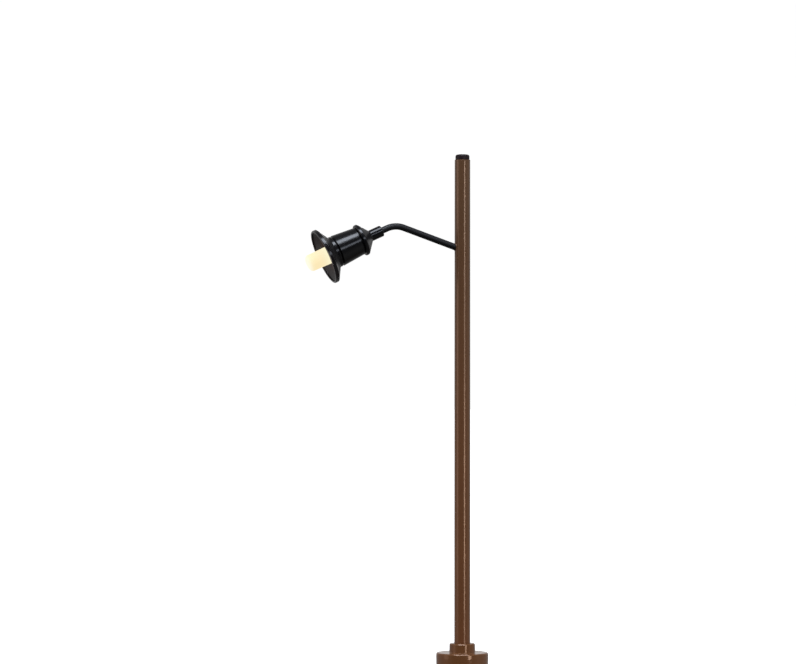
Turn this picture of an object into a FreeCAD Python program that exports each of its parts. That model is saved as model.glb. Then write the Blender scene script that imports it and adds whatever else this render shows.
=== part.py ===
import FreeCAD, Part
import math
import os
import re
import Sketcher

# Model railway mast lamp: a bent arm carries a small LED lamp near the top of a tube mast,
# and the foot plugs into a two-pole socket in the layout board.
# Millimetres. +Z runs up the mast, Z = 0 is the board's upper surface, the arm points to -X.

os.makedirs("parts", exist_ok=True)
Vector = FreeCAD.Vector
doc = FreeCAD.newDocument("MastLamp")

sizes = [
    # mast and its cap
    ("mast_height", 103.73, "top of the mast tube above the board"),
    ("mast_dia", 3.0, "outside diameter of the mast tube"),
    ("mast_wall", 0.4, "wall of the mast tube"),
    ("cap_height", 1.1, "cap above the end of the tube"),
    ("cap_inset", 0.12, "cap's edge inside the mast's edge"),
    ("cap_round", 0.38, "rounding of the cap's top edge"),
    ("cap_spigot_length", 3.0, "cap's plug inside the tube"),
    ("cap_chamfer", 0.1, "lead-in of the cap's plug"),
    # bracket arm
    ("arm_drop", 17.66, "crossing of the arm's and the mast's axes below the top of the tube"),
    ("arm_reach", 13.54, "corner of the arm's centre line from the mast's axis"),
    ("arm_slope", 19.7, "rise of the arm from the mast, degrees"),
    ("arm_dia", 1.2, "outside diameter of the arm tube"),
    ("arm_wall", 0.25, "wall of the arm tube"),
    ("arm_bend", 4.5, "bend radius of the arm's centre line"),
    ("arm_insertion", 0.3, "arm's end inside the mast's bore"),
    ("arm_tail", 1.17, "straight arm between the bend and the lamp"),
    ("arm_seat_depth", 2.2, "arm's end inside the lamp's sleeve"),
    # lamp, from the sleeve's rear end forwards
    ("lamp_tilt", 24.2, "lamp's axis below the horizontal, degrees"),
    ("sleeve_wall", 0.49, "wall of the sleeve that takes the arm"),
    ("sleeve_length", 2.48, "length of that sleeve"),
    ("cone_length", 1.7, "cone from the sleeve to the flange"),
    ("flange_lip", 0.4, "flange outside the barrel's rear"),
    ("flange_length", 1.03, "thickness of that flange"),
    ("flange_round", 0.22, "rounding of the flange's edges"),
    ("passage_dia", 0.9, "wire passage in front of the arm's end"),
    ("spigot_ring_wall", 0.48, "wall of the rear cap's ring inside the barrel"),
    ("chamber_wall", 0.35, "wall round the wiring space in the rear cap"),
    ("barrel_length", 4.38, "length of the barrel"),
    ("barrel_wall", 0.58, "wall of the barrel at its rear"),
    ("barrel_flare", 0.37, "growth of the barrel's radius towards the shade"),
    ("web_lip", 0.6, "web inside the barrel's bore"),
    ("web_length", 0.4, "thickness of the web"),
    ("neck_inset", 0.03, "shade's neck ring inside the barrel's edge"),
    ("neck_length", 0.85, "length of the neck ring"),
    ("neck_spigot_length", 0.27, "shade's spigot inside the barrel"),
    ("shade_spread", 2.41, "growth of the shade's radius from neck to rim"),
    ("shade_depth", 1.59, "cone of the shade, neck to rim"),
    ("shade_wall", 0.55, "wall of the shade's cone"),
    ("rim_length", 0.73, "cylindrical rim of the shade"),
    ("rim_width", 0.43, "width of the rim's front edge"),
    ("rim_round", 0.15, "rounding of the rim's edges"),
    ("diffuser_dia", 3.5, "diffuser where it leaves the shade's neck"),
    ("diffuser_lip", 0.43, "diffuser's flange outside its shaft"),
    ("diffuser_draft", 0.11, "narrowing of the diffuser's radius towards its tip"),
    ("diffuser_reach", 3.43, "diffuser's tip in front of the rim"),
    ("diffuser_flat", 0.34, "radius of the flat in the middle of the rounded tip"),
    ("diffuser_flange", 0.5, "thickness of the diffuser's flange"),
    ("diffuser_recess", 0.3, "pocket over the LED, depth"),
    ("diffuser_gap", 0.05, "radial gap between diffuser and shade"),
    ("led_board_thickness", 0.6, "round board behind the web"),
    ("led_length", 1.6, "LED package, length"),
    ("led_width", 0.8, "LED package, width"),
    ("led_height", 0.25, "LED package, base height"),
    ("led_lens_dia", 0.7, "LED package, lens diameter"),
    ("led_lens_height", 0.3, "LED package, lens height"),
    # feed wires
    ("wire_dia", 0.25, "enamelled wire"),
    ("wire_gap", 0.05, "gap between the two wires in the arm"),
    ("wire_bend", 0.7, "bend radius of the wires"),
    ("wire_straight", 1.0, "straight wire in front of the LED board's pads"),
    ("lamp_pad_offset", 0.9, "solder pads on the LED board from its centre"),
    ("foot_pad_offset", 1.2, "solder pads on the foot board from its centre"),
    # foot
    ("foot_height", 7.0, "foot above the board"),
    ("foot_wall", 0.8, "skirt of the foot"),
    ("foot_inner_wall", 1.1, "foot's wall above the pin carrier"),
    ("foot_roof", 1.5, "roof of the foot"),
    ("foot_round", 0.3, "rounding of the foot's top edge"),
    ("collar_wall", 0.93, "wall of the collar round the mast"),
    ("collar_height", 1.8, "collar above the foot"),
    ("collar_round", 0.15, "rounding of the collar's top edge"),
    ("ledge_length", 0.5, "ledge under the mast tube"),
    ("ledge_clearance", 0.1, "ledge's hole outside the mast's bore"),
    ("carrier_thickness", 1.2, "pin carrier plate"),
    ("foot_board_thickness", 0.6, "foot board"),
    ("foot_board_clearance", 0.05, "radial gap round the foot board"),
    ("resistor_length", 2.0, "series resistor"),
    ("resistor_width", 1.25, "series resistor"),
    ("resistor_height", 0.5, "series resistor"),
    ("diode_length", 1.7, "rectifier diode's case"),
    ("diode_width", 1.25, "rectifier diode's case"),
    ("diode_height", 0.9, "rectifier diode's case"),
    ("diode_lead_width", 0.35, "rectifier diode's leads"),
    ("diode_lead_reach", 0.4, "rectifier diode's leads beyond the case"),
    ("diode_lead_thickness", 0.2, "rectifier diode's leads"),
    ("part_margin", 0.65, "board edge to the parts on it"),
    # plug and socket
    ("spigot_dia", 7.0, "socket's spigot in the layout board"),
    ("spigot_length", 9.0, "length of that spigot"),
    ("spigot_wall", 0.53, "wall outside the contact holes"),
    ("spigot_chamfer", 0.4, "lead-in of the spigot"),
    ("socket_lip", 0.6, "socket's flange outside its spigot"),
    ("socket_flange", 0.8, "thickness of the socket's flange"),
    ("skirt_gap", 0.15, "radial gap between foot and socket flange"),
    ("plug_face_gap", 0.1, "carrier above the socket's flange"),
    ("pin_dia", 1.2, "contact pin"),
    ("pin_shoulder_lip", 0.35, "pin's shoulder between carrier and foot board"),
    ("pin_shoulder_length", 0.9, "length of that shoulder"),
    ("pin_stub", 0.5, "pin above the foot board"),
    ("pin_reach", 5.5, "pin's tip below the layout board's surface"),
    ("pin_tip_flat", 0.1, "radius of the flat on the pin's rounded tip"),
    ("pin_hole_gap", 0.05, "radial gap of the pins in the foot board"),
    ("plug_gap", 0.05, "radial running gap of pin and contact sleeve"),
    ("contact_wall", 0.3, "wall of the contact sleeve"),
    ("contact_recess", 0.3, "sleeve's top below the socket's top"),
    ("contact_floor", 0.5, "closed end of the sleeve"),
    ("contact_slot", 0.25, "slots that let the sleeve spring"),
    ("contact_slot_length", 4.0, "length of those slots"),
    ("tip_gap", 1.0, "sleeve's floor below the pin's tip"),
    ("funnel_lip", 0.25, "widening at the socket's holes"),
    ("tag_width", 1.2, "solder tag"),
    ("tag_thickness", 0.4, "solder tag"),
    ("tag_length", 3.5, "solder tag below the socket"),
    ("tag_hole_dia", 0.6, "wire hole in the tag"),
    ("tag_hole_margin", 0.9, "wire hole's centre from the tag's end"),
    ("tag_clearance", 0.05, "gap round the tag in the socket"),
    # fits
    ("fit_gap", 0.02, "radial gap of pieces that are pressed or glued together"),
]

sheet = doc.addObject("Spreadsheet::Sheet", "Sizes")
for row, (alias, value, note) in enumerate(sizes, 1):
    sheet.set(f"A{row}", note)
    sheet.set(f"B{row}", str(value))
    sheet.setAlias(f"B{row}", alias)
doc.recompute()
aliases = {alias for alias, value, note in sizes}
pieces = []
same_place = 1e-4

# Radii and places that several pieces share, as expressions in the sheet's names.
mast_bore_r = "(mast_dia / 2 - mast_wall)"
mast_hole_r = "(mast_dia / 2 + fit_gap)"
collar_r = f"({mast_hole_r} + collar_wall)"
arm_height = "(mast_height - arm_drop)"
arm_hole_r = "(arm_dia / 2 + fit_gap)"
arm_start = f"(({mast_bore_r} - arm_insertion) / cos(arm_slope * 1 deg))"
bend_tangent = "(arm_bend * tan((arm_slope + lamp_tilt) * 0.5 deg))"
corner_height = f"({arm_height} + arm_reach * tan(arm_slope * 1 deg))"
lamp_offset = f"({bend_tangent} + arm_tail)"
flange_rear = "(sleeve_length + cone_length)"
barrel_rear = f"({flange_rear} + flange_length)"
barrel_front = f"({barrel_rear} + barrel_length)"
lamp_bore_r = "(diffuser_dia / 2 + diffuser_lip + fit_gap)"
lamp_insert_r = f"({lamp_bore_r} - fit_gap)"
barrel_rear_r = f"({lamp_bore_r} + barrel_wall)"
barrel_front_r = f"({barrel_rear_r} + barrel_flare)"
web_front = f"({barrel_front} - neck_spigot_length - diffuser_flange)"
web_rear = f"({web_front} - web_length)"
led_board_rear = f"({web_rear} - led_board_thickness)"
neck_front = f"({barrel_front} + neck_length)"
rim_rear = f"({neck_front} + shade_depth)"
rim_front = f"({rim_rear} + rim_length)"
socket_flange_r = "(spigot_dia / 2 + socket_lip)"
foot_skirt_r = f"({socket_flange_r} + skirt_gap)"
foot_r = f"({foot_skirt_r} + foot_wall)"
foot_cavity_r = f"({foot_r} - foot_inner_wall)"
roof_bottom = "(foot_height - foot_roof)"
ledge_top = f"({roof_bottom} + ledge_length)"
carrier_bottom = "(socket_flange + plug_face_gap)"
carrier_top = f"({carrier_bottom} + carrier_thickness)"
foot_board_bottom = f"({carrier_top} + pin_shoulder_length)"
foot_board_top = f"({foot_board_bottom} + foot_board_thickness)"
foot_board_r = f"({foot_cavity_r} - foot_board_clearance)"
contact_r = "(pin_dia / 2 + plug_gap + contact_wall)"
contact_hole_r = f"({contact_r} + fit_gap)"
pin_offset = f"(spigot_dia / 2 - spigot_wall - {contact_hole_r})"
pin_places = {"left": f"-{pin_offset}", "right": pin_offset}
contact_top = "(socket_flange - contact_recess)"
contact_floor_top = "(-pin_reach - tip_gap)"
contact_bottom = f"({contact_floor_top} - contact_floor)"


def in_sheet(text):
    """The same expression as FreeCAD reads it, with every alias taken from the sheet."""
    return re.sub(r"[a-z_]+", lambda word: f"Sizes.{word[0]}" if word[0] in aliases else word[0], text)


def value_of(text):
    """The number that an expression in the sheet's names has now."""
    return float(sheet.evalExpression(in_sheet(text)))


def bind(thing, **properties):
    """Tie properties to expressions; a double underscore stands for a dot."""
    for name, text in properties.items():
        thing.setExpression(name.replace("__", "."), in_sheet(text))


def place(thing, x="0", y="0", z="0"):
    """Put a piece at expressions for X, Y and Z."""
    bind(thing, Placement__Base__x=x, Placement__Base__y=y, Placement__Base__z=z)


def tilt(thing, degrees):
    """Turn a piece about Y, from +Z towards -X, by an expression in degrees."""
    thing.Placement.Rotation = FreeCAD.Rotation(Vector(0, -1, 0), 1)
    bind(thing, Placement__Rotation__Angle=f"({degrees}) * 1 deg")


def in_lamp(thing, along="0"):
    """Put a piece on the lamp's axis, a distance in front of the sleeve's rear end."""
    tilt(thing, "90 + lamp_tilt")
    reach = f"({lamp_offset} + {along})"
    place(thing, x=f"-arm_reach - {reach} * cos(lamp_tilt * 1 deg)",
          z=f"{corner_height} - {reach} * sin(lamp_tilt * 1 deg)")


def node(thing, label):
    """Name a finished piece and list it for the export."""
    thing.Label = label
    pieces.append(thing)


def new_sketch(body, plane, name):
    sketch = body.newObject("Sketcher::SketchObject", name)
    origin_plane = [item for item in body.Origin.OriginFeatures if item.Role == plane][0]
    sketch.AttachmentSupport = [(origin_plane, "")]
    sketch.MapMode = "FlatFace"
    return sketch


def outline(sketch, points):
    """A closed outline of straight lines through points given as pairs of expressions."""
    numbers = [(value_of(x), value_of(y)) for x, y in points]
    count = len(points)
    for index in range(count):
        start = Vector(*numbers[index], 0)
        end = Vector(*numbers[(index + 1) % count], 0)
        sketch.addGeometry(Part.LineSegment(start, end))
    for index in range(count):
        sketch.addConstraint(Sketcher.Constraint("Coincident", index, 2, (index + 1) % count, 1))
    for index, point in enumerate(points):
        # A point on an axis of the sketch is held by that axis, because its distance is nothing.
        for way, axis, text, number in zip(("DistanceX", "DistanceY"), (-2, -1), point, numbers[index]):
            if text == "0":
                sketch.addConstraint(Sketcher.Constraint("PointOnObject", index, 1, axis))
            else:
                hold(sketch, Sketcher.Constraint(way, -1, 1, index, 1, number), text)


def hold(sketch, constraint, text):
    """Add a constraint and tie its value to an expression."""
    number = sketch.addConstraint(constraint)
    sketch.setExpression(f"Constraints[{number}]", in_sheet(text))


def turned(name, points):
    """A turned body from its half section: (radius, height) expressions in order."""
    body = doc.addObject("PartDesign::Body", f"{name}_body")
    section = new_sketch(body, "XZ_Plane", f"{name}_section")
    outline(section, points)
    turn = body.newObject("PartDesign::Revolution", f"{name}_turn")
    turn.Profile = section
    turn.ReferenceAxis = (section, ["V_Axis"])
    turn.Angle = 360
    doc.recompute()
    return body


def dress_edges(body, kind, size_name, size, places):
    """Round or chamfer the body's circular edges at (radius, height) expressions."""
    wanted = [(value_of(radius), value_of(height)) for radius, height in places]
    names = []
    for number, edge in enumerate(body.Tip.Shape.Edges, 1):
        if not isinstance(edge.Curve, Part.Circle):
            continue
        found = (edge.Curve.Radius, edge.Curve.Center.z)
        if any(math.dist(found, want) < same_place for want in wanted):
            names.append(f"Edge{number}")
    base = body.Tip
    feature = body.newObject(f"PartDesign::{kind}", f"{base.Name}_{kind}")
    feature.Base = (base, names)
    bind(feature, **{size_name: size})
    doc.recompute()


def round_edges(body, radius, places):
    dress_edges(body, "Fillet", "Radius", radius, places)


def chamfer_edges(body, width, places):
    dress_edges(body, "Chamfer", "Size", width, places)


def cylinder(name, radius, length, x="0", y="0", z="0"):
    thing = doc.addObject("Part::Cylinder", name)
    bind(thing, Radius=radius, Height=length)
    place(thing, x, y, z)
    return thing


def cone(name, bottom_radius, top_radius, length, x="0", y="0", z="0"):
    thing = doc.addObject("Part::Cone", name)
    bind(thing, Radius1=bottom_radius, Radius2=top_radius, Height=length)
    place(thing, x, y, z)
    return thing


def block(name, length, width, height, x="0", y="0", z="0"):
    """A box centred on X and Y and standing on Z."""
    thing = doc.addObject("Part::Box", name)
    bind(thing, Length=length, Width=width, Height=height)
    place(thing, f"{x} - {length} / 2", f"{y} - {width} / 2", z)
    return thing


def fused(name, things):
    thing = doc.addObject("Part::MultiFuse", name)
    thing.Shapes = things
    return thing


def cut(name, base, tools):
    thing = doc.addObject("Part::Cut", name)
    thing.Base = base
    thing.Tool = fused(f"{name}_tools", tools)
    return thing


def mast_tube():
    length = f"mast_height - {ledge_top}"
    tube = cylinder("mast_outside", "mast_dia / 2", length, z=ledge_top)
    bore = cylinder("mast_bore", mast_bore_r, length, z=ledge_top)
    arm_hole = cylinder("mast_arm_hole", arm_hole_r, "mast_dia", z=arm_height)
    tilt(arm_hole, "90 - arm_slope")
    node(cut("mast_drilled", tube, [bore, arm_hole]), "mast_tube")


def mast_cap():
    plug_r = f"{mast_bore_r} - fit_gap"
    head_r = "mast_dia / 2 - cap_inset"
    cap_top = "mast_height + cap_height"
    plug_bottom = "mast_height - cap_spigot_length"
    body = turned("mast_cap", [
        ("0", plug_bottom),
        (plug_r, plug_bottom),
        (plug_r, "mast_height"),
        (head_r, "mast_height"),
        (head_r, cap_top),
        ("0", cap_top),
    ])
    round_edges(body, "cap_round", [(head_r, cap_top)])
    chamfer_edges(body, "cap_chamfer", [(plug_r, plug_bottom)])
    node(body, "mast_cap")


def foot_housing():
    collar_top = "foot_height + collar_height"
    ledge_r = f"{mast_bore_r} + ledge_clearance"
    body = turned("foot_housing", [
        (foot_skirt_r, "0"),
        (foot_r, "0"),
        (foot_r, "foot_height"),
        (collar_r, "foot_height"),
        (collar_r, collar_top),
        (mast_hole_r, collar_top),
        (mast_hole_r, ledge_top),
        (ledge_r, ledge_top),
        (ledge_r, roof_bottom),
        (foot_cavity_r, roof_bottom),
        (foot_cavity_r, carrier_top),
        (foot_skirt_r, carrier_top),
    ])
    round_edges(body, "foot_round", [(foot_r, "foot_height")])
    round_edges(body, "collar_round", [(collar_r, collar_top)])
    node(body, "foot_housing")


def bracket_arm():
    """A tube along a straight run, one bend and a straight tail into the lamp's sleeve."""
    body = doc.addObject("PartDesign::Body", "bracket_arm_body")
    run = f"arm_reach / cos(arm_slope * 1 deg) - {arm_start} - {bend_tangent}"
    tail = "arm_tail + arm_seat_depth"
    bend_degrees = "arm_slope + lamp_tilt"
    radius = value_of("arm_bend")
    angle = math.radians(value_of(bend_degrees))
    bend_start = Vector(0, value_of(run), 0)
    bend_centre = bend_start - Vector(radius, 0, 0)
    bend_end = bend_centre + Vector(radius * math.cos(angle), radius * math.sin(angle), 0)
    tail_end = bend_end + Vector(-math.sin(angle), math.cos(angle), 0) * value_of(tail)
    bend_circle = Part.Circle(bend_centre, Vector(0, 0, 1), radius)
    path = new_sketch(body, "XZ_Plane", "arm_path")
    path.addGeometry(Part.LineSegment(Vector(0, 0, 0), bend_start))
    path.addGeometry(Part.ArcOfCircle(bend_circle, 0, angle))
    path.addGeometry(Part.LineSegment(bend_end, tail_end))
    path.addConstraint(Sketcher.Constraint("Coincident", 0, 1, -1, 1))
    path.addConstraint(Sketcher.Constraint("Vertical", 0))
    path.addConstraint(Sketcher.Constraint("Tangent", 0, 2, 1, 1))
    path.addConstraint(Sketcher.Constraint("Tangent", 1, 2, 2, 1))
    hold(path, Sketcher.Constraint("Distance", 0, value_of(run)), run)
    hold(path, Sketcher.Constraint("Radius", 1, radius), "arm_bend")
    hold(path, Sketcher.Constraint("Angle", 1, angle), f"({bend_degrees}) * 1 deg")
    hold(path, Sketcher.Constraint("Distance", 2, value_of(tail)), tail)
    section = new_sketch(body, "XY_Plane", "arm_section")
    for text in ("arm_dia / 2", "arm_dia / 2 - arm_wall"):
        circle = Part.Circle(Vector(0, 0, 0), Vector(0, 0, 1), value_of(text))
        ring = section.addGeometry(circle)
        section.addConstraint(Sketcher.Constraint("Coincident", ring, 3, -1, 1))
        hold(section, Sketcher.Constraint("Radius", ring, value_of(text)), text)
    doc.recompute()
    pipe = body.newObject("PartDesign::AdditivePipe", "arm_pipe")
    pipe.Profile = section
    pipe.Spine = (path, ["Edge1", "Edge2", "Edge3"])
    tilt(body, "90 - arm_slope")
    place(body, x=f"-{arm_start} * cos(arm_slope * 1 deg)",
          z=f"{arm_height} + {arm_start} * sin(arm_slope * 1 deg)")
    node(body, "bracket_arm")


def lamp_rear_cap():
    sleeve_r = f"{arm_hole_r} + sleeve_wall"
    flange_r = f"{barrel_rear_r} + flange_lip"
    chamber_r = f"{lamp_insert_r} - spigot_ring_wall"
    chamber_start = "arm_seat_depth + chamber_wall"
    chamber_full = f"{flange_rear} - chamber_wall"
    body = turned("lamp_rear_cap", [
        (arm_hole_r, "0"),
        (sleeve_r, "0"),
        (sleeve_r, "sleeve_length"),
        (flange_r, flange_rear),
        (flange_r, barrel_rear),
        (lamp_insert_r, barrel_rear),
        (lamp_insert_r, led_board_rear),
        (chamber_r, led_board_rear),
        (chamber_r, chamber_full),
        ("passage_dia / 2", chamber_start),
        ("passage_dia / 2", "arm_seat_depth"),
        (arm_hole_r, "arm_seat_depth"),
    ])
    round_edges(body, "flange_round", [(flange_r, flange_rear), (flange_r, barrel_rear)])
    in_lamp(body)
    node(body, "lamp_rear_cap")


def lamp_barrel():
    web_r = f"{lamp_bore_r} - web_lip"
    body = turned("lamp_barrel", [
        (lamp_bore_r, barrel_rear),
        (barrel_rear_r, barrel_rear),
        (barrel_front_r, barrel_front),
        (lamp_bore_r, barrel_front),
        (lamp_bore_r, web_front),
        (web_r, web_front),
        (web_r, web_rear),
        (lamp_bore_r, web_rear),
    ])
    in_lamp(body)
    node(body, "lamp_barrel")


def lamp_shade():
    """Neck, cone and cylindrical rim; the inside of the cone runs parallel to the outside."""
    hole_r = "diffuser_dia / 2 + diffuser_gap"
    neck_r = f"({barrel_front_r} - neck_inset)"
    rim_r = f"({neck_r} + shade_spread)"
    lip_r = f"({rim_r} - rim_width)"
    slope = "(shade_spread / shade_depth)"
    wall_across = f"(shade_wall * sqrt(1 + {slope} ^ 2))"
    spigot_rear = f"{barrel_front} - neck_spigot_length"
    floor = f"{neck_front} + shade_wall"
    floor_r = f"{neck_r} + {slope} * shade_wall - {wall_across}"
    lip_rear = f"{rim_rear} + ({wall_across} - rim_width) / {slope}"
    body = turned("lamp_shade", [
        (hole_r, spigot_rear),
        (lamp_insert_r, spigot_rear),
        (lamp_insert_r, barrel_front),
        (neck_r, barrel_front),
        (neck_r, neck_front),
        (rim_r, rim_rear),
        (rim_r, rim_front),
        (lip_r, rim_front),
        (lip_r, lip_rear),
        (floor_r, floor),
        (hole_r, floor),
    ])
    round_edges(body, "rim_round", [(rim_r, rim_rear), (rim_r, rim_front), (lip_r, rim_front)])
    in_lamp(body)
    node(body, "lamp_shade")


def light_diffuser():
    """A flanged light guide with a rounded tip and a pocket over the LED."""
    flange_front = f"{web_front} + diffuser_flange"
    tip = f"{rim_front} + diffuser_reach"
    tip_r = "(diffuser_dia / 2 - diffuser_draft)"
    pocket_r = f"{lamp_insert_r} - web_lip"
    pocket_end = f"{web_front} + diffuser_recess"
    body = turned("light_diffuser", [
        (pocket_r, web_front),
        (lamp_insert_r, web_front),
        (lamp_insert_r, flange_front),
        ("diffuser_dia / 2", flange_front),
        (tip_r, tip),
        ("0", tip),
        ("0", pocket_end),
        (pocket_r, pocket_end),
    ])
    round_edges(body, f"{tip_r} - diffuser_flat", [(tip_r, tip)])
    in_lamp(body)
    node(body, "light_diffuser")


def led_board():
    board = cylinder("led_disc", lamp_insert_r, "led_board_thickness")
    in_lamp(board, led_board_rear)
    node(board, "led_board")


def led_chip():
    case = block("led_case", "led_width", "led_length", "led_height")
    lens = cylinder("led_lens", "led_lens_dia / 2", "led_lens_height", z="led_height")
    chip = fused("led_moulded", [case, lens])
    in_lamp(chip, web_rear)
    node(chip, "led_chip")


def rounded_path(points, radii):
    """Straight runs through the points, joined at the inner ones by tangent arcs."""
    edges = []
    last = points[0]
    for index, radius in enumerate(radii, 1):
        corner = points[index]
        back = (points[index - 1] - corner).normalize()
        ahead = (points[index + 1] - corner).normalize()
        half = back.getAngle(ahead) / 2
        trim = radius / math.tan(half)
        first = corner + back * trim
        second = corner + ahead * trim
        centre = corner + (back + ahead).normalize() * (radius / math.sin(half))
        middle = centre + (corner - centre).normalize() * radius
        edges.append(Part.LineSegment(last, first).toShape())
        edges.append(Part.Arc(first, middle, second).toShape())
        last = second
    edges.append(Part.LineSegment(last, points[-1]).toShape())
    return Part.Wire(edges)


def feed_wire(label, side):
    """One enamelled wire from the LED board through arm and mast to the foot board."""
    lamp_angle = math.radians(value_of("lamp_tilt"))
    forward = Vector(-math.cos(lamp_angle), 0, -math.sin(lamp_angle))
    corner = Vector(-value_of("arm_reach"), 0, value_of(corner_height))
    sleeve_end = corner + forward * value_of(lamp_offset)
    inner = Vector(0, side * value_of("(wire_dia + wire_gap) / 2"), 0)
    lamp_pad = Vector(0, side * value_of("lamp_pad_offset"), 0)
    foot_pad = Vector(0, side * value_of("foot_pad_offset"), 0)
    board_rear = value_of(led_board_rear)
    board_top = value_of(foot_board_top)
    roof = value_of(roof_bottom)
    points = [
        sleeve_end + forward * board_rear + lamp_pad,
        sleeve_end + forward * (board_rear - value_of("wire_straight")) + lamp_pad,
        sleeve_end + forward * value_of(f"{flange_rear} + wire_straight / 2") + inner,
        corner + inner,
        Vector(0, 0, value_of(arm_height)) + inner,
        Vector(0, 0, roof) + inner,
        Vector(0, 0, (roof + board_top) / 2) + foot_pad,
        Vector(0, 0, board_top) + foot_pad,
    ]
    bend = value_of("wire_bend")
    path = rounded_path(points, [bend, bend, value_of("arm_bend"), bend, bend / 2, bend / 2])
    end = Part.Circle(points[0], forward, value_of("wire_dia / 2"))
    wire = doc.addObject("Part::Feature", f"{label}_path")
    wire.Shape = path.makePipeShell([Part.Wire(end.toShape())], True, True)
    node(wire, label)


def pin_carrier():
    plate = cylinder("carrier_plate", f"{foot_skirt_r} - fit_gap", "carrier_thickness",
                     z=carrier_bottom)
    holes = [
        cylinder(f"carrier_hole_{side}", "pin_dia / 2 + fit_gap", "carrier_thickness",
                 x=pin_x, z=carrier_bottom)
        for side, pin_x in pin_places.items()
    ]
    node(cut("carrier_drilled", plate, holes), "pin_carrier")


def foot_board():
    disc = cylinder("board_disc", foot_board_r, "foot_board_thickness", z=foot_board_bottom)
    holes = [
        cylinder(f"board_hole_{side}", "pin_dia / 2 + pin_hole_gap", "foot_board_thickness",
                 x=pin_x, z=foot_board_bottom)
        for side, pin_x in pin_places.items()
    ]
    node(cut("board_drilled", disc, holes), "foot_board")


def series_resistor():
    y = f"({foot_board_r} - part_margin - resistor_width / 2)"
    chip = block("resistor_chip", "resistor_length", "resistor_width", "resistor_height",
                 y=y, z=foot_board_top)
    node(chip, "series_resistor")


def rectifier_diode():
    y = f"(part_margin + diode_width / 2 - {foot_board_r})"
    case = block("diode_case", "diode_length", "diode_width", "diode_height",
                 y=y, z=foot_board_top)
    leads = block("diode_leads", "(diode_length + 2 * diode_lead_reach)", "diode_lead_width",
                  "diode_lead_thickness", y=y, z=foot_board_top)
    node(fused("diode_moulded", [case, leads]), "rectifier_diode")


def contact_pin(side, pin_x):
    shoulder_r = "pin_dia / 2 + pin_shoulder_lip"
    pin_top = f"{foot_board_top} + pin_stub"
    body = turned(f"contact_pin_{side}", [
        ("0", "-pin_reach"),
        ("pin_dia / 2", "-pin_reach"),
        ("pin_dia / 2", carrier_top),
        (shoulder_r, carrier_top),
        (shoulder_r, foot_board_bottom),
        ("pin_dia / 2", foot_board_bottom),
        ("pin_dia / 2", pin_top),
        ("0", pin_top),
    ])
    round_edges(body, "pin_dia / 2 - pin_tip_flat", [("pin_dia / 2", "-pin_reach")])
    place(body, x=pin_x)
    node(body, f"contact_pin_{side}")


def socket_body():
    """A flanged spigot with a stepped, funnelled hole for each contact sleeve and its tag."""
    spigot = turned("socket_blank", [
        ("0", "-spigot_length"),
        ("spigot_dia / 2", "-spigot_length"),
        ("spigot_dia / 2", "0"),
        (socket_flange_r, "0"),
        (socket_flange_r, "socket_flange"),
        ("0", "socket_flange"),
    ])
    chamfer_edges(spigot, "spigot_chamfer", [("spigot_dia / 2", "-spigot_length")])
    tools = []
    for side, pin_x in pin_places.items():
        tools.append(cylinder(f"socket_hole_{side}", contact_hole_r,
                              f"socket_flange - {contact_bottom}", x=pin_x, z=contact_bottom))
        tools.append(cylinder(f"socket_tag_hole_{side}", "tag_width / 2 + tag_clearance",
                              f"{contact_bottom} + spigot_length", x=pin_x, z="-spigot_length"))
        tools.append(cone(f"socket_funnel_{side}", contact_hole_r,
                          f"{contact_hole_r} + funnel_lip", "contact_recess",
                          x=pin_x, z=contact_top))
    node(cut("socket_drilled", spigot, tools), "socket_body")


def contact_sleeve(side, pin_x):
    """A slotted sleeve with a closed end and a flat solder tag below it."""
    name = f"contact_sleeve_{side}"
    tag_bottom = "(-spigot_length - tag_length)"
    outside = cylinder(f"{name}_outside", contact_r, f"{contact_top} - {contact_bottom}",
                       x=pin_x, z=contact_bottom)
    tag = block(f"{name}_tag", "tag_thickness", "tag_width",
                f"({contact_bottom} - {tag_bottom})", x=pin_x, z=tag_bottom)
    bore = cylinder(f"{name}_bore", "pin_dia / 2 + plug_gap",
                    f"{contact_top} - {contact_floor_top}", x=pin_x, z=contact_floor_top)
    slots = block(f"{name}_slots", f"(2 * {contact_hole_r})", "contact_slot",
                  "contact_slot_length", x=pin_x, z=f"({contact_top} - contact_slot_length)")
    eye = doc.addObject("Part::Cylinder", f"{name}_eye")
    eye.Placement.Rotation = FreeCAD.Rotation(Vector(0, 1, 0), 90)
    bind(eye, Radius="tag_hole_dia / 2", Height="tag_thickness")
    place(eye, x=f"{pin_x} - tag_thickness / 2", z=f"{tag_bottom} + tag_hole_margin")
    solid = fused(f"{name}_solid", [outside, tag])
    node(cut(f"{name}_cut", solid, [bore, slots, eye]), name)


mast_tube()
mast_cap()
foot_housing()
bracket_arm()
lamp_rear_cap()
lamp_barrel()
lamp_shade()
light_diffuser()
led_board()
led_chip()
feed_wire("feed_wire_front", -1)
feed_wire("feed_wire_back", 1)
pin_carrier()
foot_board()
series_resistor()
rectifier_diode()
for side, pin_x in pin_places.items():
    contact_pin(side, pin_x)
    contact_sleeve(side, pin_x)
socket_body()
doc.recompute()

for thing in doc.Objects:
    if {"Invalid", "Error"} & set(thing.State):
        raise RuntimeError(f"{thing.Name} did not rebuild: {thing.State}")
for piece in pieces:
    if piece.Shape.isNull() or not piece.Shape.isValid():
        raise RuntimeError(f"{piece.Label} has no valid shape")
    piece.Shape.exportStep(f"parts/{piece.Label}.step")
    print(piece.Label, round(piece.Shape.Volume, 3))
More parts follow.
